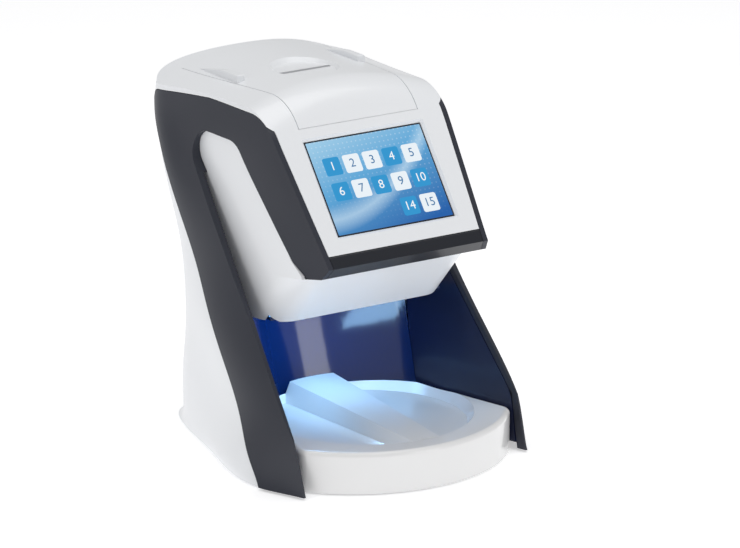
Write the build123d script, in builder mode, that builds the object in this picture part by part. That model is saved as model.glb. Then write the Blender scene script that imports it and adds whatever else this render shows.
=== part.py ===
from build123d import *
import os
from math import cos, radians, sin, sqrt, tan

# Phosphor plate scanner, desktop type, in millimetres.
# X is to the right as the user faces it, Y runs to the back and Z is up.
# The origin is on the desk, under the middle of the object.
# An imaging plate goes in through the slot in the lid, is drawn down past the
# laser and the eraser lamp, and drops down a chute onto the tray.

os.makedirs("parts", exist_ok=True)

# Overall size and stance
total_height = 220.0
rear_y = 110.0
foot_half_width = 89.0
foot_tip_y = -83.5
crown_radius = 200.0

# The face that holds the screen leans back from the vertical
face_lean = 37.0
seam_y = -23.0
seam_z = 200.0
top_front_radius = 32.0

# Side view of the front, from the foot up to the chin
shin_y = -73.0
shin_z = 33.0
leg_lean = 41.5
neck_lip_z = 87.0
chin_under_y = -58.0
chin_under_z = 122.5
nose_z = 131.0
face_bottom_z = 136.5

# Walls and gaps
skin = 2.6
frame_skin = 3.2
leg_lip = 4.0
proud = 0.8
casing_gap = 0.3
seam_gap = 0.4

# Dark frame on each side
opening_top_z = 189.0
opening_front_y = 8.0
frame_top_z = 208.0
frame_back_y = 99.0
frame_back_z = 193.0
leg_back_floor_y = -54.0
leg_back_knee_y = 76.0
leg_back_knee_z = 160.0

# Neck and side panels
neck_half_width = 62.0
neck_corner = 17.0
neck_skin = 2.6

# Alcove above the tray
wall_front_x = 77.5
wall_splay = 0.24
wall_rise = 0.11
wall_skin = 2.0
panel_radius = 71.6
panel_back_y = 33.0
panel_base_z = 26.0
panel_lean = 0.36
panel_skin = 2.0

# Tray
apron_radius = 92.5
apron_front_y = -108.6
apron_height = 26.0
basin_radius = 62.5
basin_centre_y = -32.0
basin_depth = 6.0
tray_skin = 2.4
tray_corner = 8.0
tray_back_radius = 67.0
tray_clearance = 0.5

# Screen
screen_width = 80.0
screen_height = 59.0
screen_z = 170.0
screen_recess = 1.6
glass_thickness = 1.2
module_depth = 5.0
bracket_depth = 1.5

# Lid
lid_front_half = 41.4
lid_rear_half = 50.0
lid_rear_y = 90.0
lid_skin = 2.6
dish_y = 34.0
dish_radius = 21.5
dish_depth = 2.6
slot_length = 36.0
slot_width = 3.6
ear_front_y = 37.0
ear_length = 44.0
ear_height = 4.0
ear_width = 5.0
ear_middle_x = 42.0

# Connector bay in the rear
bay_half = 38.0
bay_height = 25.0
bay_z = 22.5
bay_floor_y = 86.0
bay_wall = 1.5
switch_x = -27.0
switch_width = 13.0
switch_height = 19.0
inlet_x = -10.0
inlet_radius = 5.5
network_x = 8.0
network_width = 16.0
network_height = 14.0
data_x = 27.0
data_width = 12.0
data_height = 11.0

# Base
casing_bottom_z = 1.5
base_thickness = 2.5
base_bottom_z = 2.0
foot_pad_radius = 7.0

face_slope = tan(radians(face_lean))
leg_slope = tan(radians(leg_lean))


def face_y(z):
    return seam_y - (seam_z - z) * face_slope


def leg_front_y(z):
    return shin_y + (z - shin_z) * leg_slope


def leg_back_y(z):
    return leg_back_floor_y + z * (leg_back_knee_y - leg_back_floor_y) / leg_back_knee_z


def crown_drop(x):
    return crown_radius - sqrt(crown_radius ** 2 - x ** 2)


# Ribs of the body, one plan outline for each height:
# height, half width and y at the front, half width and y where it is widest,
# half width at the rear corner, and y of the rear
body_ribs = [
    (0.0, 79.0, foot_tip_y, foot_half_width, -58.0, 60.0, rear_y),
    (30.0, 79.0, -73.0, 85.5, -38.0, 61.0, 97.0),
    (60.0, 76.0, -56.0, 81.5, -12.0, 62.0, 86.0),
    (95.0, 70.0, -38.0, 77.8, 15.0, 61.5, 81.5),
    (130.0, 60.0, -55.0, 73.5, 36.0, 62.0, 88.0),
    (165.0, 60.0, -40.0, 70.0, 60.0, 62.0, 101.0),
    (195.0, 60.5, -25.0, 66.8, 75.0, 61.0, 106.0),
    (226.0, 59.5, -15.0, 64.0, 75.0, 58.0, 103.0),
]


def profile_points(bottom_z):
    """Side view of the whole body, as y and z."""
    crotch_y = leg_front_y(neck_lip_z)
    return [
        (foot_tip_y, bottom_z),
        (shin_y, shin_z),
        (crotch_y, neck_lip_z),
        (chin_under_y, chin_under_z),
        (face_y(nose_z) + 5.0, chin_under_z + 2.0),
        (face_y(nose_z), nose_z),
        (face_y(total_height), total_height),
        (rear_y + 5.0, total_height),
        (rear_y + 5.0, bottom_z),
    ]


def side_form(inset):
    """A loft through the ribs, smaller by the inset at the flanks and the rear."""
    with BuildPart() as sides:
        for z, front_half, front_y, wide_half, wide_y, rear_half, back_y in body_ribs:
            with BuildSketch(Plane.XY.offset(z)):
                with BuildLine():
                    start = (front_half - inset - 8, front_y - 40)
                    front = (front_half - inset, front_y)
                    wide = (wide_half - inset, wide_y)
                    corner = (rear_half - inset, back_y - inset - 0.16 * (back_y - wide_y))
                    flank = ((wide[0] + corner[0]) / 2 + 4, (wide[1] + corner[1]) / 2)
                    back = (0, back_y - inset)
                    edge = Spline(start, front, wide, flank, corner, back, tangents=((0.1, 1), (-1, 0)))
                    mirror(edge, about=Plane.YZ)
                    Line(start, (-start[0], start[1]))
                make_face()
        loft()
    return sides.part


def crown_form(inset, bottom_z=-10.0):
    """A slab with the body's side view under its bowed crown, smaller by the inset."""
    with BuildPart() as form:
        with BuildSketch(Plane.YZ):
            with BuildLine():
                Polyline(*profile_points(bottom_z), close=True)
            make_face()
            if inset:
                offset(amount=-inset, kind=Kind.INTERSECTION)
        extrude(amount=foot_half_width + 10, both=True)
        with BuildSketch(Plane.XZ.offset(-rear_y - 10)):
            with Locations((0, total_height - crown_radius)):
                Circle(crown_radius - inset)
        extrude(amount=2 * rear_y + 20, mode=Mode.INTERSECT)
        ridge = form.edges().filter_by(lambda e: e.center().Z > total_height - 40 and e.length > 60)
        fillet(ridge.sort_by(Axis.Y)[0], radius=top_front_radius - inset)
    return form.part


def body_form(inset, bottom_z=-10.0):
    """The solid that the casing follows, smaller by the inset at the sides, front and top."""
    with BuildPart() as form:
        add(crown_form(inset, bottom_z))
        add(side_form(inset), mode=Mode.INTERSECT)
    return form.part


def prism(points, rounds=(), grow=0.0):
    """A slab right across X from a side view; rounds pairs a corner's number with its radius."""
    with BuildPart() as slab:
        with BuildSketch(Plane.YZ) as view:
            with BuildLine():
                Polyline(*points, close=True)
            make_face()
            for number, radius in rounds:
                corner = (points[number][0], points[number][1], 0)
                fillet(view.vertices().sort_by_distance(corner)[0], radius=radius)
            if grow:
                offset(amount=grow, kind=Kind.INTERSECTION)
        extrude(amount=foot_half_width + 10, both=True)
    return slab.part


def wall_side(shift):
    """Everything outboard of the right alcove wall's plane, moved outward by the shift."""
    normal = Vector(1, wall_splay, -wall_rise)
    foot = Vector(wall_front_x, shin_y, shin_z) + normal.normalized() * shift
    with BuildPart() as half:
        with BuildSketch(Plane(origin=foot, z_dir=normal)):
            Rectangle(700, 700)
        extrude(amount=150)
    return half.part


def both_wall_sides(shift):
    with BuildPart() as sides:
        add(wall_side(shift))
        mirror(about=Plane.YZ)
    return sides.part


# Side views that part the casing
far = 40.0
opening_bottom_y = leg_front_y(neck_lip_z)
opening_points = [
    (opening_bottom_y - far, neck_lip_z - far / leg_slope),
    (leg_front_y(opening_top_z), opening_top_z),
    (opening_front_y, opening_top_z),
    (face_y(chin_under_z + 8) + 28, chin_under_z + 8),
    (chin_under_y - 1, chin_under_z + 0.5),
    (chin_under_y - far, chin_under_z - 6),
    (chin_under_y - far, neck_lip_z - far),
]
opening_rounds = [(1, 12), (2, 17), (3, 8), (4, 6)]


frame_points = [
    (leg_back_floor_y, 0),
    (leg_back_knee_y, leg_back_knee_z),
    (frame_back_y, frame_back_z),
    (frame_back_y - 9, frame_top_z - 4),
    (40, frame_top_z),
    (face_y(frame_top_z), frame_top_z),
    (face_y(chin_under_z - 10), chin_under_z - 10),
    (foot_tip_y - 5, 30),
    (foot_tip_y - 5, 0),
]
frame_rounds = [(1, 40), (2, 9), (3, 12), (5, top_front_radius - 3)]
wall_top_z = opening_top_z - 26
leg_zone = [
    (leg_back_y(0) + 5, 0),
    (leg_back_y(wall_top_z), wall_top_z + casing_gap),
    (leg_front_y(wall_top_z), wall_top_z + casing_gap),
    (leg_front_y(0) - 20, 0),
]
leg_strip = [
    (leg_front_y(shin_z) + leg_lip, shin_z),
    (leg_front_y(opening_top_z) + leg_lip, opening_top_z),
    (leg_front_y(opening_top_z) - 14, opening_top_z),
    (leg_front_y(0) - 30, 0),
    (foot_tip_y + 6, 0),
]

# The chin bar runs across below the face
chin_points = [
    (face_y(face_bottom_z) - 30, face_bottom_z - 30 * face_slope),
    (face_y(face_bottom_z) + 12, face_bottom_z + 12 * face_slope),
    (chin_under_y + 6, chin_under_z + 9),
    (chin_under_y, chin_under_z),
    (chin_under_y - 10, chin_under_z - 20),
]
# Behind this line the white skin belongs to the rear shell
rear_points = [
    (rear_y + 10, 0),
    (rear_y + 10, total_height + 5),
    (frame_back_y - 9, total_height + 5),
    (frame_back_y - 9, frame_top_z - 4),
    (frame_back_y, frame_back_z),
    (leg_back_knee_y, leg_back_knee_z),
    (leg_back_floor_y, 0),
]
rear_rounds = [(3, 12), (4, 9), (5, 40)]


beyond = 2 * total_height


def across(inner_x):
    """The space to the right of a vertical plane."""
    with BuildPart() as half:
        with BuildSketch(Plane.YZ.offset(inner_x)):
            Rectangle(beyond, beyond)
        extrude(amount=beyond)
    return half.part


def above(z):
    with BuildPart() as half:
        with BuildSketch(Plane.XY.offset(z)):
            Rectangle(beyond, beyond)
        extrude(amount=beyond)
    return half.part


outer = body_form(0, casing_bottom_z)
inner = body_form(skin)
white_outer = body_form(proud, casing_bottom_z - proud)
white_inner = body_form(proud + skin)
opening_zone = prism(opening_points, opening_rounds)
frame_zone = prism(frame_points, frame_rounds)
frame_inner = side_form(frame_skin)
frame_seat = side_form(frame_skin + casing_gap)

# Dark frame, one moulding on each side, wrapped round the front edge of the leg
with BuildPart() as frame_blank:
    add(outer)
    add(frame_zone, mode=Mode.INTERSECT)
    add(opening_zone, mode=Mode.SUBTRACT)
    add(across(0), mode=Mode.INTERSECT)
    add(prism(rear_points, rear_rounds, casing_gap), mode=Mode.SUBTRACT)
with BuildPart() as behind_wall:
    add(prism(leg_zone))
    add(wall_side(wall_skin + casing_gap), mode=Mode.SUBTRACT)
with BuildPart() as leg_edge:
    add(frame_blank.part)
    add(prism(leg_strip), mode=Mode.INTERSECT)
with BuildPart() as lower_edge:
    add(leg_edge.part)
    add(wall_side(casing_gap), mode=Mode.INTERSECT)
    add(above(wall_top_z + casing_gap), mode=Mode.SUBTRACT)
with BuildPart() as upper_edge:
    add(leg_edge.part)
    add(across(neck_half_width + casing_gap), mode=Mode.INTERSECT)
    add(above(wall_top_z + casing_gap), mode=Mode.INTERSECT)
with BuildPart() as right_frame:
    add(frame_blank.part)
    add(frame_inner, mode=Mode.SUBTRACT)
    add(behind_wall.part, mode=Mode.SUBTRACT)
    add(lower_edge.part)
    add(upper_edge.part)
right_frame.part.label = "right_frame"
export_step(right_frame.part, "parts/right_frame.step")
with BuildPart() as left_frame:
    mirror(right_frame.part, about=Plane.YZ)
left_frame.part.label = "left_frame"
export_step(left_frame.part, "parts/left_frame.step")

# Room for both frames, which the white shells and the chin bar stand clear of
with BuildPart() as frame_pocket:
    add(prism(frame_points, frame_rounds, casing_gap))
    add(prism(opening_points, opening_rounds, -casing_gap), mode=Mode.SUBTRACT)
    add(frame_seat, mode=Mode.SUBTRACT)

# The face plane, with its origin at the middle of the screen
face_plane = Plane(
    origin=(0, face_y(screen_z), screen_z),
    x_dir=(1, 0, 0),
    z_dir=(0, -cos(radians(face_lean)), sin(radians(face_lean))),
)
boss_x = screen_width / 2 + 6
boss_y = screen_height / 2 - 2
boss_radius = 2.8
screw_radius = 1.2
module_front = screen_recess + glass_thickness
bracket_front = module_front + module_depth
boss_spots = [(-boss_x, -boss_y), (boss_x, -boss_y), (-boss_x, boss_y), (boss_x, boss_y)]


def on_face(depth):
    return face_plane.offset(-depth)


def lid_zone(gap):
    """Everything under the plan outline of the lid, smaller by the gap all round."""
    outline = [
        (lid_front_half - gap, seam_y + gap),
        (lid_front_half + 1 - gap, 5),
        (lid_front_half + 4 - gap, 36),
        (lid_rear_half - gap, lid_rear_y - gap),
    ]
    with BuildPart() as zone:
        with BuildSketch(Plane.XY.offset(total_height - 40)):
            with BuildLine():
                flank = Spline(*outline)
                mirror(flank, about=Plane.YZ)
                Line(outline[0], (-outline[0][0], outline[0][1]))
                Line(outline[-1], (-outline[-1][0], outline[-1][1]))
            make_face()
        extrude(amount=60)
    return zone.part


# White head shell: the face round the screen and the shoulders round the lid
with BuildPart() as head_blank:
    add(outer)
    add(above(neck_lip_z + 20), mode=Mode.INTERSECT)
    add(inner, mode=Mode.SUBTRACT)
    add(prism(rear_points, rear_rounds, casing_gap), mode=Mode.SUBTRACT)
with BuildPart() as head_shell:
    add(head_blank.part)
    add(prism(opening_points, opening_rounds, casing_gap), mode=Mode.SUBTRACT)
    add(prism(chin_points, (), casing_gap), mode=Mode.SUBTRACT)
    add(frame_pocket.part, mode=Mode.SUBTRACT)
    add(lid_zone(0), mode=Mode.SUBTRACT)
    with BuildSketch(face_plane):
        Rectangle(screen_width + 1, screen_height + 1)
    extrude(amount=-3 * skin, mode=Mode.SUBTRACT)
    with BuildSketch(face_plane):
        Rectangle(screen_width + 4, screen_height + 4)
    extrude(amount=-screen_recess, taper=45, mode=Mode.SUBTRACT)
    with BuildSketch(on_face(bracket_front)):
        with Locations(*boss_spots):
            Circle(boss_radius)
    extrude(amount=bracket_front - skin / 2)
    with BuildSketch(on_face(bracket_front)):
        with Locations(*boss_spots):
            Circle(screw_radius + 0.1)
    extrude(amount=bracket_front - skin - 1, mode=Mode.SUBTRACT)
head_shell.part.label = "head_shell"
export_step(head_shell.part, "parts/head_shell.step")

with BuildPart() as chin_bar:
    add(outer)
    add(prism(chin_points), mode=Mode.INTERSECT)
    add(inner, mode=Mode.SUBTRACT)
    add(frame_pocket.part, mode=Mode.SUBTRACT)
chin_bar.part.label = "chin_bar"
export_step(chin_bar.part, "parts/chin_bar.step")

ear_base_z = total_height - crown_drop(ear_middle_x) - 1
ear_top_z = ear_base_z + 1 + ear_height
with BuildPart() as ears:
    with BuildSketch(Plane.YZ.offset(ear_middle_x - ear_width / 2)):
        with BuildLine():
            Polyline(
                (ear_front_y, ear_base_z),
                (ear_front_y + ear_length, ear_base_z),
                (ear_front_y + ear_length / 3, ear_top_z),
                (ear_front_y, ear_top_z),
                close=True,
            )
        make_face()
    extrude(amount=ear_width)
    fillet(ears.edges().filter_by(lambda e: e.center().Z > ear_top_z - 0.1), radius=1)
    mirror(about=Plane.YZ)
with BuildPart() as lid:
    add(crown_form(0))
    add(lid_zone(seam_gap), mode=Mode.INTERSECT)
    add(crown_form(skin), mode=Mode.SUBTRACT)
    with BuildSketch(Plane.XY.offset(total_height - dish_depth - lid_skin)):
        with Locations((0, dish_y)):
            Circle(dish_radius + lid_skin)
    extrude(amount=lid_skin + 1)
    with BuildSketch(Plane.XY.offset(total_height)):
        with Locations((0, dish_y)):
            Circle(dish_radius)
    extrude(amount=-dish_depth, taper=50, mode=Mode.SUBTRACT)
    with BuildSketch(Plane.XY.offset(total_height)):
        with Locations((0, dish_y)):
            Rectangle(slot_length, slot_width)
    extrude(amount=-20, mode=Mode.SUBTRACT)
    add(ears.part)
lid.part.label = "lid"
export_step(lid.part, "parts/lid.step")

bay_middle = Plane.XZ.offset(-bay_floor_y)
with BuildPart() as bay_hollow:
    with BuildSketch(bay_middle):
        with Locations((0, bay_z)):
            RectangleRounded(2 * bay_half, bay_height, 2)
    extrude(amount=-40)
with BuildPart() as rear_shell:
    add(white_outer)
    add(prism(rear_points, rear_rounds), mode=Mode.INTERSECT)
    add(white_inner, mode=Mode.SUBTRACT)
    add(bay_hollow.part, mode=Mode.SUBTRACT)
rear_shell.part.label = "rear_shell"
export_step(rear_shell.part, "parts/rear_shell.step")


def tuck_y(z):
    """Where the plane of the alcove wall meets the flank of the white core."""
    return shin_y + (wall_front_x - neck_half_width + wall_rise * (z - shin_z)) / wall_splay


def neck_form(inset):
    """The white core under the chin and inside both openings."""
    with BuildPart() as core:
        add(prism(profile_points(0), (), -inset))
        with BuildSketch(Plane.XY.offset(neck_lip_z)):
            Rectangle(2 * (neck_half_width - inset), beyond)
        extrude(amount=total_height, mode=Mode.INTERSECT)
        under_chin = core.edges().filter_by(lambda e: e.center().Z < chin_under_z)
        under_chin = under_chin.filter_by(lambda e: neck_lip_z + 5 < e.center().Z)
        fillet(under_chin.filter_by(lambda e: e.center().Y < 0), radius=neck_corner - inset)
    return core.part


neck_points = [
    (tuck_y(neck_lip_z) - 1, neck_lip_z),
    (tuck_y(opening_top_z - 8) - 2, opening_top_z - 8),
    (tuck_y(opening_top_z - 8) - 9, opening_top_z),
    *opening_points[2:],
]
neck_rounds = [(3, 17), (4, 8), (5, 6)]
with BuildPart() as neck_cover:
    add(neck_form(0))
    add(prism(neck_points, neck_rounds, -casing_gap), mode=Mode.INTERSECT)
    add(neck_form(neck_skin), mode=Mode.SUBTRACT)
    add(prism(chin_points, (), casing_gap), mode=Mode.SUBTRACT)
    add(frame_pocket.part, mode=Mode.SUBTRACT)
neck_cover.part.label = "neck_cover"
export_step(neck_cover.part, "parts/neck_cover.step")


# Alcove: a bowed rear panel that leans back, and a flat wall on each side
def panel_column(radius, bottom_z, top_z):
    with BuildPart() as column:
        for z in (bottom_z, top_z):
            with BuildSketch(Plane.XY.offset(z)):
                with Locations((0, panel_back_y - panel_radius + panel_lean * (z - panel_base_z))):
                    Circle(radius)
        loft(ruled=True)
    return column.part


base_top_z = base_bottom_z + base_thickness
alcove_bottom_z = base_top_z + casing_gap
panel_top_z = neck_lip_z + 6
ceiling_z = neck_lip_z + 1
alcove_zone_points = [
    (leg_front_y(shin_z) + leg_lip + seam_gap, shin_z),
    (leg_front_y(wall_top_z) + leg_lip + seam_gap, wall_top_z),
    (tuck_y(wall_top_z), wall_top_z),
    (tuck_y(neck_lip_z) + 3, neck_lip_z),
    (6, panel_base_z),
    (0, alcove_bottom_z),
    (foot_tip_y + 8, alcove_bottom_z),
]
with BuildPart() as right_wall:
    add(wall_side(0))
    add(wall_side(wall_skin), mode=Mode.SUBTRACT)
    add(prism(alcove_zone_points), mode=Mode.INTERSECT)
    add(frame_seat, mode=Mode.INTERSECT)
right_wall.part.label = "right_alcove_wall"
export_step(right_wall.part, "parts/right_alcove_wall.step")
with BuildPart() as left_wall:
    mirror(right_wall.part, about=Plane.YZ)
left_wall.part.label = "left_alcove_wall"
export_step(left_wall.part, "parts/left_alcove_wall.step")

with BuildPart() as alcove_panel:
    add(panel_column(panel_radius + panel_skin, alcove_bottom_z, panel_top_z))
    add(panel_column(panel_radius, alcove_bottom_z, panel_top_z), mode=Mode.SUBTRACT)
    add(both_wall_sides(-casing_gap), mode=Mode.SUBTRACT)
    with BuildSketch(Plane.XY):
        with Locations((0, -beyond / 2 - 12)):
            Rectangle(beyond, beyond)
    extrude(amount=beyond, mode=Mode.SUBTRACT)
alcove_panel.part.label = "alcove_panel"
export_step(alcove_panel.part, "parts/alcove_panel.step")

# Ceiling of the alcove, with the mouth that the plates drop through
mouth_y = dish_y
with BuildPart() as ceiling:
    add(neck_form(neck_skin + casing_gap))
    with BuildSketch(Plane.XY.offset(ceiling_z)):
        Rectangle(beyond, beyond)
    extrude(amount=2, mode=Mode.INTERSECT)
    add(panel_column(panel_radius - casing_gap, alcove_bottom_z, panel_top_z), mode=Mode.INTERSECT)
    add(both_wall_sides(-casing_gap), mode=Mode.SUBTRACT)
    with BuildSketch(Plane.XY.offset(ceiling_z)):
        with Locations((0, mouth_y)):
            Rectangle(slot_length + 6, 9)
    extrude(amount=2, mode=Mode.SUBTRACT)
ceiling.part.label = "alcove_ceiling"
export_step(ceiling.part, "parts/alcove_ceiling.step")

# Tray: a round-fronted dish with a ramp along its middle
apron_centre_y = apron_front_y + apron_radius
tray_back_centre_y = panel_back_y - 1.5 - tray_back_radius - 2
tray_bottom_z = base_top_z + 0.3


tray_flank_x = wall_front_x - wall_rise * (shin_z - tray_bottom_z) - tray_clearance
tray_front_y = apron_front_y - 10
flank_y = tray_back_centre_y + tray_back_radius + 10
flank_points = [
    (tray_flank_x + wall_splay * (shin_y - tray_front_y), tray_front_y),
    (tray_flank_x + wall_splay * (shin_y - flank_y), flank_y),
]


def tray_plan(inset):
    """Plan of the tray: a bowed front and back between two converging flanks."""
    with BuildPart() as plan:
        with BuildSketch(Plane.XY):
            with BuildLine():
                Line(flank_points[0], flank_points[1])
                mirror(about=Plane.YZ)
                Line(flank_points[0], (-flank_points[0][0], flank_points[0][1]))
                Line(flank_points[1], (-flank_points[1][0], flank_points[1][1]))
            make_face()
            offset(amount=-inset - 0.01, kind=Kind.INTERSECTION)
            with Locations((0, apron_centre_y)):
                Circle(apron_radius - inset, mode=Mode.INTERSECT)
        extrude(amount=60)
        fillet(plan.edges().filter_by(Axis.Z).group_by(Axis.Y)[0], radius=tray_corner - inset)
        with BuildSketch(Plane.XY):
            with Locations((0, tray_back_centre_y)):
                Circle(tray_back_radius - inset)
            with Locations((0, tray_back_centre_y - 100)):
                Rectangle(200, 200)
        extrude(amount=60, mode=Mode.INTERSECT)
    return plan.part


floor_z = apron_height - basin_depth
spine_back_y = tray_back_centre_y + tray_back_radius
with BuildPart() as spine:
    for y, top_half, top_z in [(spine_back_y, 15.5, 31.0), (basin_centre_y - basin_radius + 2, 9.0, 25.5)]:
        with BuildSketch(Plane.XZ.offset(-y)):
            with BuildLine():
                Polyline(
                    (-top_half - 7, floor_z - 1),
                    (-top_half, top_z),
                    (top_half, top_z),
                    (top_half + 7, floor_z - 1),
                    close=True,
                )
            make_face()
    loft(ruled=True)
with BuildPart() as ramp:
    add(spine.part)
    add(tray_plan(0.5), mode=Mode.INTERSECT)
with BuildPart() as tray_hollow:
    add(tray_plan(tray_skin))
    with BuildSketch(Plane.XY.offset(tray_bottom_z)):
        Rectangle(beyond, beyond)
    extrude(amount=floor_z - tray_skin - tray_bottom_z, mode=Mode.INTERSECT)
with BuildPart() as panel_room:
    add(panel_column(panel_radius + 40, 0, 60))
    add(panel_column(panel_radius - tray_clearance, 0, 60), mode=Mode.SUBTRACT)
    with BuildSketch(Plane.XY):
        with Locations((0, -beyond / 2 - 13)):
            Rectangle(beyond, beyond)
    extrude(amount=60, mode=Mode.SUBTRACT)
with BuildPart() as tray:
    add(tray_plan(0))
    with BuildSketch(Plane.XY.offset(tray_bottom_z)):
        Rectangle(beyond, beyond)
    extrude(amount=apron_height - tray_bottom_z, mode=Mode.INTERSECT)
    top_rim = tray.faces().sort_by(Axis.Z)[-1].edges()
    fillet(top_rim, radius=3)
    add(panel_room.part, mode=Mode.SUBTRACT)
    with BuildSketch(Plane.XY.offset(apron_height)):
        with Locations((0, basin_centre_y)):
            Circle(basin_radius)
    extrude(amount=-basin_depth, taper=35, mode=Mode.SUBTRACT)
    add(ramp.part)
    add(tray_hollow.part, mode=Mode.SUBTRACT)
    with BuildSketch(Plane.XY.offset(casing_bottom_z)):
        with Locations((0, apron_centre_y)):
            Circle(apron_radius)
            Circle(apron_radius - tray_skin, mode=Mode.SUBTRACT)
        with Locations((0, apron_centre_y - 45 - beyond / 2)):
            Rectangle(2 * wall_front_x - 12, beyond, mode=Mode.INTERSECT)
    extrude(amount=tray_bottom_z - casing_bottom_z + 1)
tray.part.label = "tray"
export_step(tray.part, "parts/tray.step")

# Base plate, which everything stands on, and its rubber feet
seat_inset = proud + skin + casing_gap
pad_places = [(-56, -52), (56, -52), (-44, 80), (44, 80)]
pad_recess = 1.0
seat_form = side_form(seat_inset)
with BuildPart() as base_plate:
    add(seat_form)
    with BuildSketch(Plane.XY.offset(base_bottom_z)):
        with Locations((0, apron_centre_y)):
            Circle(apron_radius - tray_skin - 0.6)
        with Locations((0, apron_centre_y + beyond / 2)):
            Rectangle(beyond, beyond)
    extrude(amount=base_thickness, mode=Mode.INTERSECT)
    with BuildSketch(Plane.XY.offset(base_bottom_z)):
        with Locations(*pad_places):
            Circle(foot_pad_radius + 0.1)
    extrude(amount=pad_recess, mode=Mode.SUBTRACT)
base_plate.part.label = "base_plate"
export_step(base_plate.part, "parts/base_plate.step")
with BuildPart() as foot_pads:
    with BuildSketch(Plane.XY):
        with Locations(*pad_places):
            Circle(foot_pad_radius)
    extrude(amount=base_bottom_z + pad_recess)
    chamfer(foot_pads.faces().group_by(Axis.Z)[0].edges(), length=0.6)
foot_pads.part.label = "foot_pads"
export_step(foot_pads.part, "parts/foot_pads.step")

# Screen: touch glass, display module and the bracket that holds them to the face
with BuildPart() as touch_glass:
    with BuildSketch(on_face(screen_recess)):
        RectangleRounded(screen_width + 0.4, screen_height + 0.4, 1)
    extrude(amount=-glass_thickness)
touch_glass.part.label = "touch_glass"
export_step(touch_glass.part, "parts/touch_glass.step")
with BuildPart() as display_module:
    with BuildSketch(on_face(module_front)):
        RectangleRounded(screen_width + 4, screen_height + 4, 1)
    extrude(amount=-module_depth)
display_module.part.label = "display_module"
export_step(display_module.part, "parts/display_module.step")
with BuildPart() as display_bracket:
    with BuildSketch(on_face(bracket_front)):
        RectangleRounded(2 * boss_x + 8, screen_height + 2, 3)
        with Locations(*boss_spots):
            Circle(screw_radius + 0.1, mode=Mode.SUBTRACT)
    extrude(amount=-bracket_depth)
display_bracket.part.label = "display_bracket"
export_step(display_bracket.part, "parts/display_bracket.step")
with BuildPart() as display_screws:
    with BuildSketch(on_face(bracket_front + bracket_depth)):
        with Locations(*boss_spots):
            Circle(screw_radius)
    extrude(amount=bracket_depth + 3)
    with BuildSketch(on_face(bracket_front + bracket_depth)):
        with Locations(*boss_spots):
            Circle(2 * screw_radius)
    extrude(amount=-1.4)
display_screws.part.label = "display_screws"
export_step(display_screws.part, "parts/display_screws.step")

# Chassis: two upright plates that carry the plate transport
chassis_half = 39.0
plate_thickness = 2.0
chassis_inner = chassis_half - plate_thickness
chassis_rear_y = 73.0
chassis_top_z = 196.0
roller_radius = 7.0
roller_half = 20.0
nip = 1.0
shaft_radius = 2.0
shaft_clearance = 0.04
bush_radius = 4.0
drive_y = dish_y - nip / 2 - roller_radius
idler_y = dish_y + nip / 2 + roller_radius
upper_z = 186.0
lower_z = 128.0
roller_places = {
    "upper_drive": (drive_y, upper_z),
    "upper_idler": (idler_y, upper_z),
    "lower_drive": (drive_y, lower_z),
    "lower_idler": (idler_y, lower_z),
}
motor_y = 62.0
motor_z = 112.0
motor_radius = 11.0
motor_shaft_radius = 1.5
chassis_points = [
    (16, panel_top_z + 6),
    (64, panel_top_z + 6),
    (64, base_top_z),
    (chassis_rear_y, base_top_z),
    (chassis_rear_y, chassis_top_z),
    (16, chassis_top_z),
]
for side, edge_x in (("right", chassis_inner), ("left", -chassis_half)):
    with BuildPart() as upright:
        with BuildSketch(Plane.YZ.offset(edge_x)) as outline:
            with BuildLine():
                Polyline(*chassis_points, close=True)
            make_face()
            fillet(outline.vertices().group_by(Axis.X)[0], radius=3)
            with Locations(*roller_places.values()):
                Circle(bush_radius, mode=Mode.SUBTRACT)
            if side == "right":
                with Locations((motor_y, motor_z)):
                    Circle(motor_shaft_radius + shaft_clearance, mode=Mode.SUBTRACT)
            with Locations((56, 176)):
                RectangleRounded(22, 20, 4, mode=Mode.SUBTRACT)
        extrude(amount=plate_thickness)
    upright.part.label = f"{side}_chassis_plate"
    export_step(upright.part, f"parts/{side}_chassis_plate.step")
with BuildPart() as roller_bushes:
    for place in roller_places.values():
        with BuildSketch(Plane.YZ.offset(chassis_inner)):
            with Locations(place):
                Circle(bush_radius)
                Circle(shaft_radius + shaft_clearance, mode=Mode.SUBTRACT)
        extrude(amount=plate_thickness)
    mirror(about=Plane.YZ)
roller_bushes.part.label = "roller_bushes"
export_step(roller_bushes.part, "parts/roller_bushes.step")

# Rollers: a steel shaft with a rubber sleeve; the driven ones carry a pulley
belt_x = chassis_half + 2.5
belt_width = 4.0
pulley_radius = 8.0
motor_pulley_radius = 5.0
shaft_left = -chassis_half - 2
for name, place in roller_places.items():
    shaft_right = belt_x + belt_width + 1 if "drive" in name else chassis_half + 2
    with BuildPart() as shaft:
        with BuildSketch(Plane.YZ.offset(shaft_left)):
            with Locations(place):
                Circle(shaft_radius)
        extrude(amount=shaft_right - shaft_left)
    shaft.part.label = f"{name}_shaft"
    export_step(shaft.part, f"parts/{name}_shaft.step")
    with BuildPart() as sleeve:
        with BuildSketch(Plane.YZ.offset(-roller_half)):
            with Locations(place):
                Circle(roller_radius)
                Circle(shaft_radius, mode=Mode.SUBTRACT)
        extrude(amount=2 * roller_half)
    sleeve.part.label = f"{name}_sleeve"
    export_step(sleeve.part, f"parts/{name}_sleeve.step")


def pulley(place, radius, bore, teeth, name):
    with BuildPart() as wheel:
        with BuildSketch(Plane.YZ.offset(belt_x)):
            with Locations(place):
                Circle(radius)
                Circle(bore, mode=Mode.SUBTRACT)
                with PolarLocations(radius, teeth):
                    Circle(0.6, mode=Mode.SUBTRACT)
        extrude(amount=belt_width)
    wheel.part.label = name
    export_step(wheel.part, f"parts/{name}.step")


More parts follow.
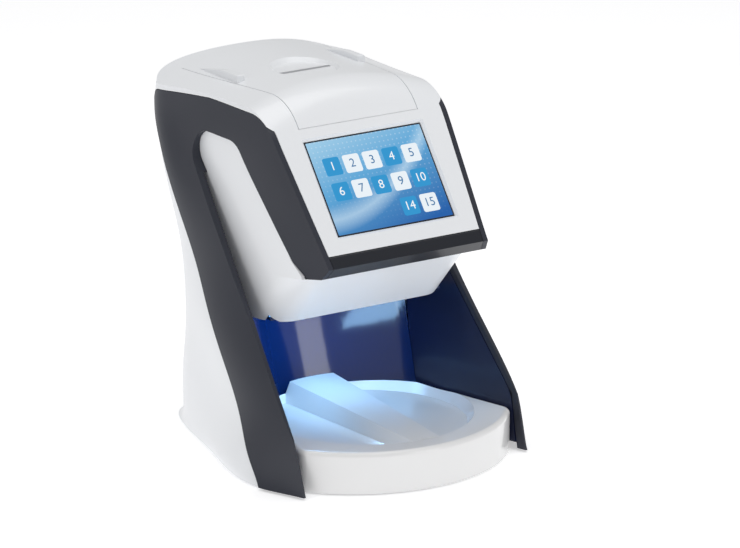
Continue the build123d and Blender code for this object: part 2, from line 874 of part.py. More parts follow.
pulley(roller_places["upper_drive"], pulley_radius, shaft_radius, 20, "upper_pulley")
pulley(roller_places["lower_drive"], pulley_radius, shaft_radius, 20, "lower_pulley")
pulley((motor_y, motor_z), motor_pulley_radius, motor_shaft_radius, 12, "motor_pulley")
belt_gap = 0.3
belt_thickness = 1.0
wheels = [
    (roller_places["upper_drive"], pulley_radius),
    (roller_places["lower_drive"], pulley_radius),
    ((motor_y, motor_z), motor_pulley_radius),
]
with BuildPart() as drive_belt:
    with BuildSketch(Plane.YZ.offset(belt_x)):
        for place, radius in wheels:
            with Locations(place):
                Circle(radius + belt_gap + belt_thickness)
        make_hull()
        with BuildSketch(Plane.YZ.offset(belt_x), mode=Mode.SUBTRACT):
            for place, radius in wheels:
                with Locations(place):
                    Circle(radius + belt_gap)
            make_hull()
    extrude(amount=belt_width)
drive_belt.part.label = "drive_belt"
export_step(drive_belt.part, "parts/drive_belt.step")
with BuildPart() as transport_motor:
    with BuildSketch(Plane.YZ.offset(chassis_inner)):
        with Locations((motor_y, motor_z)):
            Circle(motor_radius)
    extrude(amount=-26)
    with BuildSketch(Plane.YZ.offset(chassis_inner)):
        with Locations((motor_y, motor_z)):
            Circle(motor_shaft_radius + shaft_clearance)
    extrude(amount=-8, mode=Mode.SUBTRACT)
transport_motor.part.label = "transport_motor"
export_step(transport_motor.part, "parts/transport_motor.step")
with BuildPart() as motor_shaft:
    with BuildSketch(Plane.YZ.offset(chassis_inner - 7)):
        with Locations((motor_y, motor_z)):
            Circle(motor_shaft_radius)
    extrude(amount=belt_x + belt_width + 1 - chassis_inner + 7)
motor_shaft.part.label = "motor_shaft"
export_step(motor_shaft.part, "parts/motor_shaft.step")


def block(x_range, y_range, z_range):
    """A plain moulded or sheet piece, given by its ranges."""
    with BuildPart() as piece:
        with BuildSketch(Plane.XY.offset(z_range[0])):
            with Locations(((x_range[0] + x_range[1]) / 2, (y_range[0] + y_range[1]) / 2)):
                Rectangle(x_range[1] - x_range[0], y_range[1] - y_range[0])
        extrude(amount=z_range[1] - z_range[0])
    return piece.part


span = (-chassis_inner, chassis_inner)
shelf_z = 140.0
shelf_thickness = 2.0
shelf_top = shelf_z + shelf_thickness
with BuildPart() as optics_shelf:
    add(block(span, (49, chassis_rear_y), (shelf_z, shelf_top)))
optics_shelf.part.label = "optics_shelf"
export_step(optics_shelf.part, "parts/optics_shelf.step")
mirror_y = 64.0
mirror_bottom = shelf_top + 9.0
with BuildPart() as mirror_motor:
    with BuildSketch(Plane.XY.offset(shelf_top)):
        with Locations((0, mirror_y)):
            Circle(8)
    extrude(amount=8)
    with BuildSketch(Plane.XY.offset(shelf_top + 3)):
        with Locations((0, mirror_y)):
            Circle(motor_shaft_radius + shaft_clearance)
    extrude(amount=5, mode=Mode.SUBTRACT)
mirror_motor.part.label = "mirror_motor"
export_step(mirror_motor.part, "parts/mirror_motor.step")
with BuildPart() as polygon_mirror:
    with BuildSketch(Plane.XY.offset(mirror_bottom)):
        with Locations((0, mirror_y)):
            RegularPolygon(9, 8)
    extrude(amount=5)
    with BuildSketch(Plane.XY.offset(mirror_bottom)):
        with Locations((0, mirror_y)):
            Circle(motor_shaft_radius)
    extrude(amount=-5)
polygon_mirror.part.label = "polygon_mirror"
export_step(polygon_mirror.part, "parts/polygon_mirror.step")
with BuildPart() as laser_module:
    add(block((14, 34), (60, 72), (shelf_top, shelf_top + 14)))
    with BuildSketch(Plane.YZ.offset(14)):
        with Locations((mirror_y, mirror_bottom + 2.5)):
            Circle(3)
    extrude(amount=-3)
laser_module.part.label = "laser_module"
export_step(laser_module.part, "parts/laser_module.step")
lens_half = 20.0
lens_y = 51.2
with BuildPart() as scan_lens:
    with BuildSketch(Plane.XY.offset(shelf_top)):
        with BuildLine():
            ThreePointArc((-lens_half, lens_y), (0, lens_y - 2), (lens_half, lens_y))
            Line((lens_half, lens_y), (lens_half, lens_y + 3))
            Line((lens_half, lens_y + 3), (-lens_half, lens_y + 3))
            Line((-lens_half, lens_y + 3), (-lens_half, lens_y))
        make_face()
    extrude(amount=15)
scan_lens.part.label = "scan_lens"
export_step(scan_lens.part, "parts/scan_lens.step")
with BuildPart() as light_collector:
    add(block(span, (dish_y + 4, dish_y + 12), (164, 174)))
light_collector.part.label = "light_collector"
export_step(light_collector.part, "parts/light_collector.step")
with BuildPart() as detector_housing:
    with BuildSketch(Plane.XZ.offset(-dish_y - 12)):
        with Locations((0, 169)):
            Circle(8)
    extrude(amount=-25)
detector_housing.part.label = "detector_housing"
export_step(detector_housing.part, "parts/detector_housing.step")
with BuildPart() as eraser_lamp:
    add(block(span, (18, dish_y - 4), (panel_top_z + 11, panel_top_z + 19)))
eraser_lamp.part.label = "eraser_lamp"
export_step(eraser_lamp.part, "parts/eraser_lamp.step")
ceiling_top_z = ceiling_z + 2
with BuildPart() as chute:
    add(block((-24, 24), (dish_y - 6, dish_y + 6), (ceiling_top_z, panel_top_z + 10)))
    with BuildSketch(Plane.XY.offset(ceiling_top_z)):
        with Locations((0, dish_y)):
            Rectangle(slot_length + 6, 9)
    extrude(amount=30, mode=Mode.SUBTRACT)
chute.part.label = "chute"
export_step(chute.part, "parts/chute.step")
flange_top_z = chassis_top_z + 2.5
tower_top_z = total_height - dish_depth - lid_skin - casing_gap
with BuildPart() as infeed_guide:
    add(block((-chassis_half, chassis_half), (dish_y - 14, dish_y + 16), (chassis_top_z, flange_top_z)))
    add(block((-22, 22), (dish_y - 6, dish_y + 6), (chassis_top_z, tower_top_z)))
    with BuildSketch(Plane.XY.offset(chassis_top_z)):
        with Locations((0, dish_y)):
            Rectangle(slot_length + 1, slot_width + 1.5)
    extrude(amount=30, mode=Mode.SUBTRACT)
infeed_guide.part.label = "infeed_guide"
export_step(infeed_guide.part, "parts/infeed_guide.step")
rear_plate_y = 71.0
with BuildPart() as chassis_rear_plate:
    add(block(span, (rear_plate_y, rear_plate_y + 2), (10, 100)))
chassis_rear_plate.part.label = "chassis_rear_plate"
export_step(chassis_rear_plate.part, "parts/chassis_rear_plate.step")
board_y = 64.5
board_thickness = 1.6
board_hole_radius = 1.3
board_holes = [(-27, 22), (27, 22), (-27, 86), (27, 86)]
with BuildPart() as main_board:
    with BuildSketch(Plane.XZ.offset(-board_y)):
        with Locations((0, 54)):
            Rectangle(62, 72)
        with Locations(*board_holes):
            Circle(board_hole_radius, mode=Mode.SUBTRACT)
    extrude(amount=-board_thickness)
    with BuildSketch(Plane.XZ.offset(-board_y)):
        with Locations((-12, 60), (14, 40)):
            Rectangle(12, 12)
        with Locations((16, 72), (-18, 34)):
            Rectangle(9, 6)
    extrude(amount=1.5)
main_board.part.label = "main_board"
export_step(main_board.part, "parts/main_board.step")
with BuildPart() as board_spacers:
    with BuildSketch(Plane.XZ.offset(-board_y - board_thickness)):
        with Locations(*board_holes):
            Circle(2.5)
            Circle(board_hole_radius, mode=Mode.SUBTRACT)
    extrude(amount=board_y + board_thickness - rear_plate_y)
board_spacers.part.label = "board_spacers"
export_step(board_spacers.part, "parts/board_spacers.step")
with BuildPart() as board_screws:
    with BuildSketch(Plane.XZ.offset(-board_y)):
        with Locations(*board_holes):
            Circle(2.4)
    extrude(amount=1.4)
    with BuildSketch(Plane.XZ.offset(-board_y)):
        with Locations(*board_holes):
            Circle(1.2)
    extrude(amount=board_y - rear_plate_y)
board_screws.part.label = "board_screws"
export_step(board_screws.part, "parts/board_screws.step")

# Light bar in the alcove ceiling
with BuildPart() as light_bar:
    with BuildSketch(Plane.XY.offset(ceiling_z)):
        with Locations((0, 8)):
            RectangleRounded(70, 7, 3)
    extrude(amount=-2)
light_bar.part.label = "alcove_light_bar"
export_step(light_bar.part, "parts/alcove_light_bar.step")

# Connector bay: a box behind an opening in the rear shell
with BuildPart() as connector_panel:
    with BuildSketch(Plane.XZ.offset(bay_wall - bay_floor_y)):
        with Locations((0, bay_z)):
            Rectangle(2 * bay_half + 2 * bay_wall, bay_height + 2 * bay_wall)
    extrude(amount=-40)
    add(seat_form, mode=Mode.INTERSECT)
    add(bay_hollow.part, mode=Mode.SUBTRACT)
    with BuildSketch(Plane.XZ.offset(bay_wall - bay_floor_y)):
        with Locations((switch_x, bay_z)):
            Rectangle(switch_width + 0.2, switch_height + 0.2)
        with Locations((inlet_x, bay_z)):
            Circle(inlet_radius + 0.1)
        with Locations((network_x, bay_z)):
            Rectangle(network_width + 0.2, network_height + 0.2)
        with Locations((data_x, bay_z)):
            Rectangle(data_width + 0.2, data_height + 0.2)
    extrude(amount=-bay_wall, mode=Mode.SUBTRACT)
connector_panel.part.label = "connector_panel"
export_step(connector_panel.part, "parts/connector_panel.step")
socket_front_y = bay_floor_y + 1.5
with BuildPart() as power_inlet:
    with BuildSketch(Plane.XZ.offset(-socket_front_y)):
        with Locations((inlet_x, bay_z)):
            Circle(inlet_radius)
    extrude(amount=12)
    with BuildSketch(Plane.XZ.offset(-socket_front_y)):
        with Locations((inlet_x, bay_z)):
            Circle(3.2)
            Circle(1.0, mode=Mode.SUBTRACT)
    extrude(amount=9, mode=Mode.SUBTRACT)
power_inlet.part.label = "power_inlet"
export_step(power_inlet.part, "parts/power_inlet.step")
with BuildPart() as network_socket:
    with BuildSketch(Plane.XZ.offset(-socket_front_y)):
        with Locations((network_x, bay_z)):
            Rectangle(network_width, network_height)
    extrude(amount=13)
    with BuildSketch(Plane.XZ.offset(-socket_front_y)):
        with Locations((network_x, bay_z)):
            Rectangle(12, 7)
        with Locations((network_x, bay_z + 4)):
            Rectangle(6, 3)
    extrude(amount=11, mode=Mode.SUBTRACT)
network_socket.part.label = "network_socket"
export_step(network_socket.part, "parts/network_socket.step")
with BuildPart() as data_socket:
    with BuildSketch(Plane.XZ.offset(-socket_front_y)):
        with Locations((data_x, bay_z)):
            Rectangle(data_width, data_height)
    extrude(amount=13)
    with BuildSketch(Plane.XZ.offset(-socket_front_y)):
        with Locations((data_x, bay_z)):
            Rectangle(8.4, 7.8)
            Rectangle(5.6, 3.2, mode=Mode.SUBTRACT)
    extrude(amount=10, mode=Mode.SUBTRACT)
data_socket.part.label = "data_socket"
export_step(data_socket.part, "parts/data_socket.step")

# Mains switch: the rocker turns on two pins in its housing
pivot_y = bay_floor_y - 1
pin_radius = 0.9
rocker_width = 9.0
rocker_tilt = 8.0
with BuildPart() as switch_housing:
    with BuildSketch(Plane.XZ.offset(-socket_front_y)):
        with Locations((switch_x, bay_z)):
            Rectangle(switch_width, switch_height)
    extrude(amount=12)
    with BuildSketch(Plane.XZ.offset(-socket_front_y)):
        with Locations((switch_x, bay_z)):
            Rectangle(rocker_width + 0.4, 15.8)
    extrude(amount=8, mode=Mode.SUBTRACT)
    with BuildSketch(Plane.YZ.offset(switch_x)):
        with Locations((pivot_y, bay_z)):
            Circle(pin_radius + 0.04)
    extrude(amount=rocker_width / 2 + 1.4, both=True, mode=Mode.SUBTRACT)
switch_housing.part.label = "switch_housing"
export_step(switch_housing.part, "parts/switch_housing.step")
rocker_plane = Plane(
    origin=(switch_x, pivot_y, bay_z),
    x_dir=(0, cos(radians(rocker_tilt)), sin(radians(rocker_tilt))),
    z_dir=(1, 0, 0),
)
with BuildPart() as switch_rocker:
    with BuildSketch(rocker_plane):
        with BuildLine():
            Polyline((-3, -6.2), (2.6, -7.2), (1.4, 0), (2.6, 7.2), (-3, 6.2), close=True)
        make_face()
    extrude(amount=rocker_width / 2, both=True)
    with BuildSketch(rocker_plane):
        Circle(pin_radius)
    extrude(amount=rocker_width / 2 + 1.2, both=True)
switch_rocker.part.label = "switch_rocker"
export_step(switch_rocker.part, "parts/switch_rocker.step")
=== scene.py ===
# %% [markdown]
# # Phosphor plate scanner
# A desktop scanner for dental imaging plates, seen from its front left corner. The solid
# pieces come from the frame, so this file is about finishes, small surface pieces, light
# and the camera. Lengths are in metres, X to the right, Y to the back, Z up.

import math

import bpy
from mathutils import Matrix, Vector


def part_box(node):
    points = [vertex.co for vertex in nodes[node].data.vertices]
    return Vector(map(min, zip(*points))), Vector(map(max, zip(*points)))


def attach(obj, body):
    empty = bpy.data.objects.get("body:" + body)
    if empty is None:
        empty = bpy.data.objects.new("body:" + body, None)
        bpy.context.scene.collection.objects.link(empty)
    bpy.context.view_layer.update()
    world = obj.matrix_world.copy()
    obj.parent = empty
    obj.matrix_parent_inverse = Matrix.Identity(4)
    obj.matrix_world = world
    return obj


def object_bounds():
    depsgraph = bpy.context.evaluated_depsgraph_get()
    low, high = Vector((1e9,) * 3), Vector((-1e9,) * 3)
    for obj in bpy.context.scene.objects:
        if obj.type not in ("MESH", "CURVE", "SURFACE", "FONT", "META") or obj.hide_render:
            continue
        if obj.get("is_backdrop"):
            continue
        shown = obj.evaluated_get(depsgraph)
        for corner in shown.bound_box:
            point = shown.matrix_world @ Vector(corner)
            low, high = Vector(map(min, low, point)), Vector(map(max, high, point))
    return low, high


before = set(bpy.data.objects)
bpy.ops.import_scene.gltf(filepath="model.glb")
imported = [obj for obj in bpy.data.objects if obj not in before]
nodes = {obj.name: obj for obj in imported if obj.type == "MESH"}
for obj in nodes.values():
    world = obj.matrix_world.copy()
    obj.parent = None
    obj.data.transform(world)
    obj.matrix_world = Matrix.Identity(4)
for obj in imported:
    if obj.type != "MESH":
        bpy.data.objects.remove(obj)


def corners():
    """The object's lowest and highest corner as plain numbers."""
    low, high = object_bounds()
    return {"low": [float(v) for v in low], "high": [float(v) for v in high]}


sizes = {"frame": corners()}
print("nodes loaded:", len(nodes))

# %% [markdown]
# ## Finishes
# Moulded plastic is never quite flat. One shared group makes a fine grain and a slow
# change of tone, and every moulding uses it with its own strength.

# %% A shared group for moulded surfaces
grain = bpy.data.node_groups.new("moulded_grain", "ShaderNodeTree")
for name, value in (("Tone", 0.03), ("Grain scale", 900.0)):
    socket = grain.interface.new_socket(name, in_out="INPUT", socket_type="NodeSocketFloat")
    socket.default_value = value
base_socket = grain.interface.new_socket("Colour", in_out="INPUT", socket_type="NodeSocketColor")
grain.interface.new_socket("Base Color", in_out="OUTPUT", socket_type="NodeSocketColor")
grain.interface.new_socket("Bump Height", in_out="OUTPUT", socket_type="NodeSocketFloat")
inside = grain.nodes.new("NodeGroupInput")
outside = grain.nodes.new("NodeGroupOutput")
place = grain.nodes.new("ShaderNodeTexCoord")
slow = grain.nodes.new("ShaderNodeTexNoise")
slow.inputs["Scale"].default_value = 14.0
fine = grain.nodes.new("ShaderNodeTexNoise")
fine.inputs["Detail"].default_value = 2.0
centred = grain.nodes.new("ShaderNodeMath")
centred.operation = "SUBTRACT"
centred.inputs[1].default_value = 0.5
swing = grain.nodes.new("ShaderNodeMath")
swing.operation = "MULTIPLY_ADD"
swing.inputs[2].default_value = 1.0
toned = grain.nodes.new("ShaderNodeHueSaturation")
grain.links.new(place.outputs["Object"], slow.inputs["Vector"])
grain.links.new(place.outputs["Object"], fine.inputs["Vector"])
grain.links.new(inside.outputs["Grain scale"], fine.inputs["Scale"])
grain.links.new(slow.outputs["Fac"], centred.inputs[0])
grain.links.new(centred.outputs[0], swing.inputs[0])
grain.links.new(inside.outputs["Tone"], swing.inputs[1])
grain.links.new(swing.outputs[0], toned.inputs["Value"])
grain.links.new(inside.outputs["Colour"], toned.inputs["Color"])
grain.links.new(toned.outputs["Color"], outside.inputs["Base Color"])
grain.links.new(fine.outputs["Fac"], outside.inputs["Bump Height"])
print("group sockets:", len(grain.interface.items_tree))


def srgb(red, green, blue):
    """A colour given as it looks on a screen, 0 to 255, in the renderer's linear scale."""
    linear = [(v / 255) ** 2.2 for v in (red, green, blue)]
    return (*linear, 1.0)


def finish(name, colour, roughness=0.4, metallic=0.0, coat=0.0, tone=0.03, scale=900.0, bump=0.03, glow=None):
    """A material built on the grain group. Glow is a colour and a strength."""
    material = bpy.data.materials.new(name)
    material.use_nodes = True
    tree = material.node_tree
    surface = tree.nodes["Principled BSDF"]
    group = tree.nodes.new("ShaderNodeGroup")
    group.node_tree = grain
    group.inputs["Colour"].default_value = colour
    group.inputs["Tone"].default_value = tone
    group.inputs["Grain scale"].default_value = scale
    relief = tree.nodes.new("ShaderNodeBump")
    relief.inputs["Strength"].default_value = bump
    relief.inputs["Distance"].default_value = 0.0002
    tree.links.new(group.outputs["Base Color"], surface.inputs["Base Color"])
    tree.links.new(group.outputs["Bump Height"], relief.inputs["Height"])
    tree.links.new(relief.outputs["Normal"], surface.inputs["Normal"])
    surface.inputs["Roughness"].default_value = roughness
    surface.inputs["Metallic"].default_value = metallic
    surface.inputs["Coat Weight"].default_value = coat
    surface.inputs["Coat Roughness"].default_value = 0.08
    if glow:
        surface.inputs["Emission Color"].default_value = glow[0]
        surface.inputs["Emission Strength"].default_value = glow[1]
    return material


# %% [markdown]
# The photograph shows a glossy white body, satin dark grey side frames that turn almost black on the edges
# that face forward, and a deep blue glossy alcove. That near-black on the forward faces is painted shade: a
# darker copy of the frame colour on the chin bar and the base plate.

# %% Materials
white = finish("white_moulding", srgb(238, 240, 243), roughness=0.32, coat=0.2, tone=0.02)
tray_white = finish("tray_moulding", srgb(236, 236, 236), roughness=0.2, coat=0.5, tone=0.02)
dark = finish("dark_frame", srgb(40, 43, 54), roughness=0.45, tone=0.1, bump=0.06)
# Painted shade: a darker copy of the frame colour, for the chin that faces forward and down.
painted_shade_dark = finish("chin_frame_painted_shade", srgb(14, 20, 32), roughness=0.3, coat=0.3, tone=0.05)
side_blue = finish("alcove_side", srgb(22, 30, 58), roughness=0.3, coat=0.3, tone=0.08)
panel_blue = finish("alcove_back", srgb(12, 40, 84), roughness=0.12, coat=0.8, tone=0.05)
light = finish("light_bar", srgb(200, 225, 255), roughness=0.3, glow=(srgb(110, 180, 255), 6.0))
rubber = finish("rubber", srgb(28, 28, 30), roughness=0.8, tone=0.1, bump=0.2)
steel = finish("plated_steel", srgb(185, 188, 192), roughness=0.3, metallic=1.0, tone=0.08)
polished = finish("ground_steel", srgb(200, 202, 206), roughness=0.15, metallic=1.0)
black = finish("black_plastic", srgb(24, 25, 28), roughness=0.5, tone=0.1, bump=0.1)
board = finish("circuit_board", srgb(22, 90, 52), roughness=0.4, tone=0.25, scale=300.0, bump=0.2)
lens = finish("lens_glass", srgb(205, 220, 230), roughness=0.03, coat=1.0)
mirror_face = finish("mirror_face", srgb(225, 228, 232), roughness=0.02, metallic=1.0, tone=0.01, bump=0.0)

painted = {
    white: ["head_shell", "lid", "rear_shell", "neck_cover"],
    tray_white: ["tray"],
    dark: ["right_frame", "left_frame"],
    # Painted shade on the chin bar and the base plate.
    painted_shade_dark: ["chin_bar", "base_plate"],
    side_blue: ["right_alcove_wall", "left_alcove_wall"],
    panel_blue: ["alcove_panel", "alcove_ceiling"],
    light: ["alcove_light_bar", "eraser_lamp"],
    rubber: ["foot_pads", "drive_belt", "upper_drive_sleeve", "upper_idler_sleeve",
             "lower_drive_sleeve", "lower_idler_sleeve"],
    polished: ["upper_drive_shaft", "upper_idler_shaft", "lower_drive_shaft", "lower_idler_shaft",
               "motor_shaft", "display_screws", "board_screws", "motor_pulley", "laser_module"],
    black: ["chute", "infeed_guide", "connector_panel", "power_inlet", "network_socket",
            "data_socket", "switch_housing", "switch_rocker", "light_collector", "roller_bushes",
            "optics_shelf", "upper_pulley", "lower_pulley", "display_module"],
    board: ["main_board"],
    lens: ["scan_lens"],
    mirror_face: ["polygon_mirror"],
}
for node in nodes.values():
    node.data.materials.clear()
    node.data.materials.append(steel)
for material, names in painted.items():
    for name in names:
        nodes[name].data.materials[0] = material
print("materials:", len(bpy.data.materials))

# %% [markdown]
# ## The screen
# The glass lies on the leaning face. A picture plane just above it shows a sky blue
# background that deepens to the lower right, with a pale swoosh and soft dots. The
# plane is placed in its own axes: u to the right and v up the face.

# %% The lit screen picture
LEAN = math.radians(37.0)
face_right = Vector((1, 0, 0))
face_up = Vector((0, math.sin(LEAN), math.cos(LEAN)))
face_out = Vector((0, -math.cos(LEAN), math.sin(LEAN)))
glass_low, glass_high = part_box("touch_glass")
glass_middle = (Vector(glass_low) + Vector(glass_high)) / 2
GLASS_HALF_DEPTH = 0.0006
screen_place = Matrix.Translation(glass_middle + face_out * GLASS_HALF_DEPTH) @ Matrix(
    (
        (face_right.x, face_up.x, face_out.x, 0),
        (face_right.y, face_up.y, face_out.y, 0),
        (face_right.z, face_up.z, face_out.z, 0),
        (0, 0, 0, 1),
    )
)
LIT_W, LIT_H = 0.0790, 0.0580
LIT_CORNER = 0.0006
LIT_LIFT = 0.00005


def on_screen(u, v, lift):
    """A point on the screen's plane, u and v in metres from its middle."""
    return screen_place @ Vector((u, v, lift))


def flat_piece(name, outline, lift, material, thickness=0.0):
    """A thin sheet on the screen from a list of (u, v) points."""
    mesh = bpy.data.meshes.new(name)
    top = [on_screen(u, v, lift + thickness) for u, v in outline]
    if thickness:
        low = [on_screen(u, v, lift) for u, v in outline]
        count = len(outline)
        faces = [list(range(count)), list(range(2 * count - 1, count - 1, -1))]
        faces += [[i, i + count, (i + 1) % count + count, (i + 1) % count] for i in range(count)]
        mesh.from_pydata(top + low, [], faces)
    else:
        mesh.from_pydata(top, [], [list(range(len(outline)))])
    piece = bpy.data.objects.new(name, mesh)
    bpy.context.collection.objects.link(piece)
    mesh.materials.append(material)
    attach(piece, "casing")
    return piece


def rounded(centre_u, centre_v, width, height, radius, steps=5):
    """Outline of a rectangle with rounded corners."""
    points = []
    for turn, (side_u, side_v) in enumerate(((1, 1), (-1, 1), (-1, -1), (1, -1))):
        for step in range(steps + 1):
            angle = math.radians(90 * turn + 90 * step / steps)
            points.append(
                (
                    centre_u + side_u * (width / 2 - radius) + radius * math.cos(angle),
                    centre_v + side_v * (height / 2 - radius) + radius * math.sin(angle),
                )
            )
    return points


def picture_material():
    """Sky blue that deepens downwards, with a swoosh and dots, all from the surface's own place."""
    material = bpy.data.materials.new("screen_picture")
    material.use_nodes = True
    tree = material.node_tree
    surface = tree.nodes["Principled BSDF"]
    place = tree.nodes.new("ShaderNodeUVMap")
    split = tree.nodes.new("ShaderNodeSeparateXYZ")
    tree.links.new(place.outputs["UV"], split.inputs[0])

    def reckon(operation, first, second, third=None):
        node = tree.nodes.new("ShaderNodeMath")
        node.operation = operation
        for slot_number, value in enumerate((first, second, third)):
            if value is None:
                continue
            if isinstance(value, (int, float)):
                node.inputs[slot_number].default_value = value
            else:
                tree.links.new(value, node.inputs[slot_number])
        return node.outputs[0]

    u, v = split.outputs["X"], split.outputs["Y"]
    fall = reckon("MULTIPLY_ADD", v, -0.85, reckon("MULTIPLY_ADD", u, 0.3, 0.75))
    ramp = tree.nodes.new("ShaderNodeValToRGB")
    ramp.color_ramp.elements[0].color = srgb(176, 218, 240)
    ramp.color_ramp.elements[1].color = srgb(22, 92, 168)
    middle = ramp.color_ramp.elements.new(0.5)
    middle.color = srgb(92, 166, 216)
    tree.links.new(fall, ramp.inputs["Fac"])
    arc = reckon("MULTIPLY_ADD", reckon("POWER", u, 2.0), 0.55, 0.12)
    away = reckon("ABSOLUTE", reckon("SUBTRACT", v, arc), 0.0)
    sweep = reckon("SUBTRACT", 1.0, reckon("MULTIPLY", away, 9.0))
    sweep = reckon("MULTIPLY", reckon("MAXIMUM", sweep, 0.0), 0.55)
    lit = tree.nodes.new("ShaderNodeMix")
    lit.data_type = "RGBA"
    lit.inputs["B"].default_value = srgb(205, 232, 248)
    tree.links.new(sweep, lit.inputs["Factor"])
    tree.links.new(ramp.outputs["Color"], lit.inputs["A"])
    dots = tree.nodes.new("ShaderNodeTexVoronoi")
    dots.inputs["Scale"].default_value = 26.0
    dots.inputs["Randomness"].default_value = 0.0
    tree.links.new(place.outputs["UV"], dots.inputs["Vector"])
    spot = reckon("LESS_THAN", dots.outputs["Distance"], 0.16)
    spot = reckon("MULTIPLY", spot, reckon("MULTIPLY", v, 0.35))
    dotted = tree.nodes.new("ShaderNodeMix")
    dotted.data_type = "RGBA"
    dotted.inputs["B"].default_value = srgb(235, 246, 252)
    tree.links.new(spot, dotted.inputs["Factor"])
    tree.links.new(lit.outputs["Result"], dotted.inputs["A"])
    surface.inputs["Base Color"].default_value = srgb(8, 10, 14)
    surface.inputs["Roughness"].default_value = 0.25
    tree.links.new(dotted.outputs["Result"], surface.inputs["Emission Color"])
    surface.inputs["Emission Strength"].default_value = 0.95
    return material


edge_black = finish("glass_edge", srgb(26, 36, 52), roughness=0.15, coat=0.6)
nodes["touch_glass"].data.materials[0] = edge_black
outline = rounded(0, 0, LIT_W, LIT_H, LIT_CORNER)
picture = flat_piece("screen_picture", outline, LIT_LIFT, picture_material())
layer = picture.data.uv_layers.new(name="face")
for loop in picture.data.loops:
    u, v = outline[loop.vertex_index]
    layer.data[loop.index].uv = (u / LIT_W + 0.5, (v / LIT_H + 0.5) * LIT_H / LIT_W)
print("picture corners:", len(picture.data.vertices))

# %% [markdown]
# ## Tiles on the screen
# Blue and white rounded tiles stand in three rows, the last of them short. Each carries
# one plain number. The rows are placed by where they show in the photograph.

# %% Tiles and their numbers
GLOW = 0.95
tile_blue = finish("tile_blue", srgb(6, 14, 20), roughness=0.3, glow=(srgb(42, 148, 207), GLOW))
tile_white = finish("tile_white", srgb(20, 20, 20), roughness=0.3, glow=(srgb(236, 244, 250), GLOW))
ink_white = finish("ink_white", srgb(20, 20, 20), roughness=0.3, glow=(srgb(245, 250, 252), GLOW))
ink_blue = finish("ink_blue", srgb(6, 12, 18), roughness=0.3, glow=(srgb(60, 120, 170), 0.9))
TILE, TILE_CORNER = 0.0112, 0.0014
TILE_LIFT, TILE_DEPTH = 0.00012, 0.00008
FIRST_U, FIRST_V = -0.0272, 0.0126
STEP_U, STEP_V = 0.0136, 0.0158
NUMBER_SIZE, NUMBER_DEPTH, NUMBER_LIFT = 0.0075, 0.00002, 0.00026
# A number and b for blue or w for white. None is a place without a tile.
rows = [
    ("1b", "2w", "3w", "4b", "5w"),
    ("6b", "7w", "8b", "9w", "10b"),
    (None, None, None, "14b", "15w"),
]
made = 0
for row_number, row in enumerate(rows):
    for column, text in enumerate(row):
        if text is None:
            continue
        number = text[:-1]
        face, ink = (tile_blue, ink_white) if text[-1] == "b" else (tile_white, ink_blue)
        u = FIRST_U + column * STEP_U
        v = FIRST_V - row_number * STEP_V
        shape = rounded(u, v, TILE, TILE, TILE_CORNER)
        flat_piece(f"tile_{number}", shape, TILE_LIFT, face, TILE_DEPTH)
        curve = bpy.data.curves.new(f"number_{number}", "FONT")
        curve.body = number
        curve.size = NUMBER_SIZE
        curve.align_x, curve.align_y = "CENTER", "CENTER"
        curve.extrude = NUMBER_DEPTH
        label = bpy.data.objects.new(f"number_{number}", curve)
        bpy.context.collection.objects.link(label)
        label.matrix_world = screen_place @ Matrix.Translation((u, v, NUMBER_LIFT))
        curve.materials.append(ink)
        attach(label, "casing")
        made += 1
print("tiles:", made)

# %% [markdown]
# ## Room, light and camera
# A pale floor that reads as white, a large soft lamp above, one at the front right, one
# at the left and a small blue one under the alcove's ceiling.

# %% Floor and lamps
REACH = 6
floor_corners = [(-REACH, -REACH, 0), (REACH, -REACH, 0), (REACH, REACH, 0), (-REACH, REACH, 0)]
floor_mesh = bpy.data.meshes.new("floor")
floor_mesh.from_pydata(floor_corners, [], [(0, 1, 2, 3)])
floor = bpy.data.objects.new("floor", floor_mesh)
bpy.context.collection.objects.link(floor)
floor_white = bpy.data.materials.new("floor_white")
floor_white.use_nodes = True
tree = floor_white.node_tree
surface = tree.nodes["Principled BSDF"]
surface.inputs["Base Color"].default_value = (0.86, 0.86, 0.87, 1)
surface.inputs["Roughness"].default_value = 0.7
surface.inputs["Emission Color"].default_value = (1, 1, 1, 1)
surface.inputs["Emission Strength"].default_value = 0.45
floor_mesh.materials.append(floor_white)
floor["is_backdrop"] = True

world = bpy.data.worlds.new("soft_room")
world.use_nodes = True
bpy.context.scene.world = world
world_tree = world.node_tree
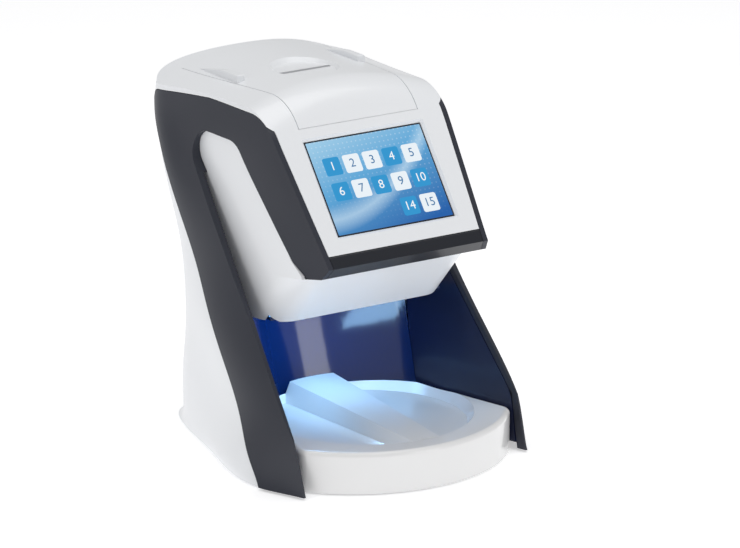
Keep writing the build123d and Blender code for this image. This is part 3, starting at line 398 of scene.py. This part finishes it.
# The room lights the object dimly, and the camera sees it as plain white.
room = world_tree.nodes["Background"]
room.inputs["Color"].default_value = (1.0, 1.0, 1.0, 1)
room.inputs["Strength"].default_value = 0.42
seen = world_tree.nodes.new("ShaderNodeBackground")
seen.inputs["Color"].default_value = (1, 1, 1, 1)
seen.inputs["Strength"].default_value = 1.0
ray = world_tree.nodes.new("ShaderNodeLightPath")
choose = world_tree.nodes.new("ShaderNodeMixShader")
world_tree.links.new(ray.outputs["Is Camera Ray"], choose.inputs["Fac"])
world_tree.links.new(room.outputs[0], choose.inputs[1])
world_tree.links.new(seen.outputs[0], choose.inputs[2])
world_tree.links.new(choose.outputs[0], world_tree.nodes["World Output"].inputs["Surface"])


def lamp(name, place, aim, size, power):
    """A square soft lamp at a place, turned towards a point."""
    data = bpy.data.lights.new(name, "AREA")
    data.size = size
    data.energy = power
    item = bpy.data.objects.new(name, data)
    item.location = place
    item.rotation_mode = "QUATERNION"
    item.rotation_quaternion = (Vector(aim) - Vector(place)).to_track_quat("-Z", "Y")
    bpy.context.collection.objects.link(item)
    item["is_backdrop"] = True
    return item


middle = (0, 0, 0.11)
lamp("top_lamp", (0.1, 0.1, 1.5), middle, 1.2, 9.0)
lamp("front_lamp", (0.6, -1.6, 0.7), middle, 0.8, 4.5)
lamp("left_lamp", (-1.6, -0.3, 0.5), middle, 0.7, 2.6)
alcove = lamp("alcove_lamp", (-0.01, 0.002, 0.082), (-0.01, 0.02, 0.03), 0.05, 0.06)
alcove.data.color = (0.35, 0.65, 1.0)
print("lamps:", len(bpy.data.lights))

# %% [markdown]
# The camera stands about three metres away at the front left, a little above the head,
# with a long lens, as the photograph's perspective is very flat.

# %% Camera
AZIMUTH, ELEVATION = math.radians(33.95), math.radians(16.62)
DISTANCE = 3.1618
SENSOR_MM, LENS_MM = 36.0, 265.6
target = Vector((0, -0.03465, 0.10994))
back = Vector(
    (
        -math.sin(AZIMUTH) * math.cos(ELEVATION),
        -math.cos(AZIMUTH) * math.cos(ELEVATION),
        math.sin(ELEVATION),
    )
)
camera_data = bpy.data.cameras.new("camera")
camera_data.sensor_width = SENSOR_MM
camera_data.lens = LENS_MM
camera = bpy.data.objects.new("camera", camera_data)
camera.location = target + back * DISTANCE
camera.rotation_mode = "QUATERNION"
camera.rotation_quaternion = (-back).to_track_quat("-Z", "Y")
camera_data.clip_start = 0.1
camera_data.clip_end = 50.0
bpy.context.collection.objects.link(camera)
bpy.context.scene.camera = camera
bpy.context.scene.view_settings.view_transform = "Standard"

# %% Sizes and finish
sizes["finished"] = corners()
spans = zip(sizes["finished"]["low"], sizes["finished"]["high"])
print("object size:", [round(high - low, 4) for low, high in spans])
